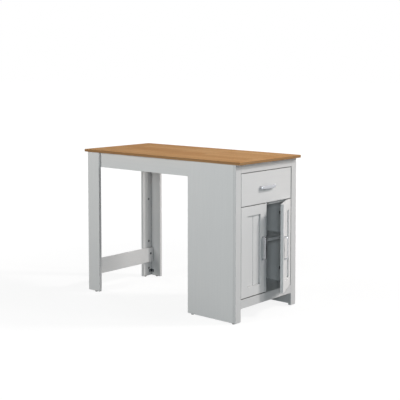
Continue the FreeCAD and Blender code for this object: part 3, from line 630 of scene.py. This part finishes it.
def angle_screws(name, first_axis, second_axis, first_corner, second_corner):
    """A screw in each leg of every angle of a node. A corner is the low or the high end of the box."""
    heads = []
    for low, high in loose_boxes(name):
        middle = (low + high) / 2
        ends = {}
        for axis, corner in ((first_axis, first_corner), (second_axis, second_corner)):
            length = high[axis] - low[axis]
            ends[axis] = (low[axis], 1.0, length) if corner(middle) == "low" else (high[axis], -1.0, length)
        for along, off in ((first_axis, second_axis), (second_axis, first_axis)):
            seat = middle.copy()
            start, way, length = ends[along]
            seat[along] = start + way * length * ANGLE_SCREW_SHARE
            base, off_way, _ = ends[off]
            seat[off] = base + off_way * ANGLE_THICKNESS
            out = Vector((0.0, 0.0, 0.0))
            out[off] = off_way
            heads.append(pan_head(seat, out, ANGLE_SCREW_RADIUS, ANGLE_SCREW_HEIGHT))
    return heads


def outer_end(middle):
    """The end in Y of an angle's box that lies away from the table's middle."""
    return "low" if middle.y < 0 else "high"


def make_angle_screws(looks):
    low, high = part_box("apron_side_left")
    middle_x = (low[X] + high[X]) / 2
    nodes = {
        "leg_brackets": (X, Y, lambda middle: "low", outer_end),
        "apron_brackets": (X, Y, lambda middle: "low" if middle.x < middle_x else "high", outer_end),
        "top_brackets": (Y, Z, outer_end, lambda middle: "high"),
    }
    for name, places in nodes.items():
        mesh = join_meshes(angle_screws(name, *places))
        make_piece(name + "_screws", mesh, looks[SCREW_SLOT], body_of(name))


HANDLE_SPACING = 0.128
HANDLE_SCREW_HEAD = (0.0050, 0.0027)        # radius and height
HANDLE_SCREW_SOLID = 0.002                  # height of the plain head that it covers
HINGE_SCREW_HEAD = (0.0043, 0.0022)
CUP_SCREWS = (0.0015, 0.0095, 0.024)        # from the lowest x, the middle's y and height of a cup
PLATE_SCREWS = (0.028, 0.002, 0.019)        # from the lowest x and y and the middle's height of an arm
ARM_SCREW_HEAD = (0.0032, 0.0009)
ARM_SCREWS = ((0.007, 0.013), (0.020, 0.013))
RUNNER_SCREW_HEAD = (0.0032, 0.0009)
RUNNER_SCREW_SHARES = (0.18, 0.50, 0.82)    # along a runner
RUNNER_STEEL = 0.0012


def add_heads(node, places, size, looks):
    """Screw heads that ride with a CAD node. Each place is a point and the way that it faces."""
    mesh = join_meshes([pan_head(place, way, *size) for place, way in places])
    make_piece(node + "_heads", mesh, looks[SCREW_SLOT], body_of(node))


def make_handle_screws(looks):
    for name, lengthwise in (("handle_screws_left", UP), ("handle_screws_drawer", ACROSS)):
        low, high = (Vector(corner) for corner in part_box(name))
        middle = (low + high) / 2
        middle.x = low.x + HANDLE_SCREW_SOLID
        places = [(middle + lengthwise * (sign * HANDLE_SPACING / 2), INWARDS) for sign in (-1, 1)]
        add_heads(name, places, HANDLE_SCREW_HEAD, looks)
        if name == "handle_screws_left":
            far = [on_right_door(*place) for place in places]
            add_heads("handle_screws_right", far, HANDLE_SCREW_HEAD, looks)


def make_hinge_screws(looks):
    inset, shift, lift = CUP_SCREWS
    cups = []
    for low, high in loose_boxes("hinge_cups_left"):
        middle = (low + high) / 2
        for sign in (-1, 1):
            seat = Vector((low.x + inset, middle.y + shift, middle.z + sign * lift))
            cups.append((seat, INWARDS))
    add_heads("hinge_cups_left", cups, HINGE_SCREW_HEAD, looks)
    add_heads("hinge_cups_right", [on_right_door(*place) for place in cups], HINGE_SCREW_HEAD, looks)
    inset, rise, lift = PLATE_SCREWS
    seats = [(inset, rise, sign * lift, HINGE_SCREW_HEAD) for sign in (-1, 1)]
    seats += [(inset, rise, 0.0, ARM_SCREW_HEAD) for inset, rise in ARM_SCREWS]
    for side, turn_over in (("left", Vector), ("right", mirrored)):
        name = "hinge_arms_" + side
        meshes = []
        for low, high in loose_boxes("hinge_arms_left"):
            height = (low.z + high.z) / 2
            for inset, rise, lift, size in seats:
                seat = Vector((low.x + inset, low.y + rise, height + lift))
                meshes.append(pan_head(turn_over(seat), turn_over(ACROSS), *size))
        make_piece(name + "_heads", join_meshes(meshes), looks[SCREW_SLOT], body_of(name))


def make_runner_screws(looks):
    """Flat heads in the webs of the runners: the cabinet's half faces inwards, the drawer's outwards."""
    for half, way in (("cabinet", 1.0), ("drawer", -1.0)):
        stem = "runner_" + half
        low, high = (Vector(corner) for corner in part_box(stem + "_left"))
        web_y = low.y + RUNNER_STEEL if half == "cabinet" else high.y - RUNNER_STEEL
        places = []
        for share in RUNNER_SCREW_SHARES:
            seat = Vector((low.x + share * (high.x - low.x), web_y, (low.z + high.z) / 2))
            places.append((seat, Vector((0, way, 0))))
        add_heads(stem + "_left", places, RUNNER_SCREW_HEAD, looks)
        far = [(mirrored(seat), mirrored(facing)) for seat, facing in places]
        add_heads(stem + "_right", far, RUNNER_SCREW_HEAD, looks)


# --------------------------------------------------------------- light and stage
STAGE_SIZE = 120.0
PLAIN_WHITE = (1.0, 1.0, 1.0, 1.0)
SKY = (0.62, 0.86, 1.0, 1.0)    # the faint light from all round
SKY_LEVEL = 0.055
FLOOR_LIT = (0.9, 0.9, 0.9, 1.0)        # the floor where it shows
FLOOR_THROWN = (0.22, 0.22, 0.22, 1.0)  # the floor for the light that it throws back up


def make_world():
    world = bpy.data.worlds.new("studio")
    bpy.context.scene.world = world
    world.use_nodes = True
    graph = Graph(world.node_tree)
    soft = graph.add("ShaderNodeBackground", {"Color": SKY, "Strength": SKY_LEVEL}).outputs[0]
    white = graph.add("ShaderNodeBackground", {"Color": PLAIN_WHITE, "Strength": 1.0}).outputs[0]
    mixed = graph.add("ShaderNodeMixShader", {0: seen_ray(graph), 1: soft, 2: white}).outputs[0]
    graph.add("ShaderNodeOutputWorld", {"Surface": mixed})


SHADOW_SHARE = 0.18             # of what shows of the floor, the rest is plain white
SHADOW_REACH = (1.2, 3.6)       # where the floor's shade begins and ends to fade to white
FLOOR_WHITE = 1.06              # makes up for the lamps' level on the lit share of the floor


def make_floor():
    """A pale floor: it shows white with the object's soft shadow, and throws little light back up."""
    made, graph, where = new_material("floor_looks")
    thrown = graph.add("ShaderNodeBsdfDiffuse", {"Color": FLOOR_THROWN}).outputs[0]
    glow = graph.add("ShaderNodeEmission", {"Color": PLAIN_WHITE, "Strength": FLOOR_WHITE}).outputs[0]
    lit = graph.add("ShaderNodeBsdfDiffuse", {"Color": FLOOR_LIT}).outputs[0]
    far = graph.add("ShaderNodeVectorMath", {0: where["Object"]}, operation="LENGTH").outputs["Value"]
    share = graph.span(far, *SHADOW_REACH, SHADOW_SHARE, 0.0)
    pale = graph.add("ShaderNodeMixShader", {0: share, 1: glow, 2: lit}).outputs[0]
    mixed = graph.add("ShaderNodeMixShader", {0: seen_ray(graph), 1: thrown, 2: pale}).outputs[0]
    graph.add("ShaderNodeOutputMaterial", {"Surface": mixed})
    mesh = bpy.data.meshes.new("floor")
    half = STAGE_SIZE / 2
    corners = [(-half, -half, 0), (half, -half, 0), (half, half, 0), (-half, half, 0)]
    mesh.from_pydata(corners, [], [(0, 1, 2, 3)])
    mesh.materials.append(made)
    floor = bpy.data.objects.new("floor", mesh)
    bpy.context.scene.collection.objects.link(floor)


WARM = (1.01, 0.965, 0.945)
COOL = (0.90, 1.0, 1.05)
PALE = (1.0, 0.985, 0.96)

# name: the way from the aim to the lamp, the aim, the distance, the lamp's width, the level, the colour
LAMPS = {
    "key": ((0.749, 0.663, 0.75), (0.55, 0.10, 0.75), 9.0, 1.08, 0.60, WARM),
    "front_key": ((0.906, 0.423, 0.50), (0.55, 0.10, 0.75), 9.0, 1.44, 0.23, WARM),
    "far_fill": ((0.259, 0.966, 0.30), (0.55, 0.10, 0.75), 4.5, 2.0, 0.16, WARM),
    "camera_fill": ((0.60, -0.80, 0.17), (0.50, 0.10, 0.60), 4.5, 0.9, 0.25, COOL),
    "side_fill": ((-0.25, -1.0, 0.30), (-0.25, -0.285, 0.60), 3.6, 1.66, 0.54, PALE),
    "overhead": ((0.25, 0.05, 1.0), (0.45, 0.0, 0.9), 2.0, 1.2, 0.08, WARM),
    "back_fill": ((-1.0, 0.25, 0.06), (-0.50, 0.0, 0.60), 5.0, 1.6, 0.42, PALE),
}
MATT_LAMPS = {"back_fill"}      # these leave no shine


def make_lamp(name, towards, aim, distance, width, level, color):
    """A square soft lamp. Level 1 lights a surface that faces it at its aim to its own colour."""
    data = bpy.data.lights.new(name, "AREA")
    data.energy = level * (math.pi * distance) ** 2
    data.size = width
    data.color = color
    way = Vector(towards).normalized()
    lamp = bpy.data.objects.new(name, data)
    lamp.location = Vector(aim) + way * distance
    lamp.rotation_euler = way.to_track_quat("Z", "Y").to_euler()
    lamp.visible_camera = False
    lamp.visible_glossy = name not in MATT_LAMPS
    bpy.context.scene.collection.objects.link(lamp)


def make_lights():
    for name, facts in LAMPS.items():
        make_lamp(name, *facts)


bpy.context.scene.view_settings.view_transform = "Standard"
make_camera()
make_world()
make_floor()
make_lights()
looks = make_materials()
dress_cad_nodes(looks)
make_handle("handle_left", 0.0, UP, looks)
make_handle("handle_right", right_door_turn(), UP, looks)
make_handle("handle_drawer", 0.0, ACROSS, looks)
make_angle_screws(looks)
make_handle_screws(looks)
make_hinge_screws(looks)
make_runner_screws(looks)
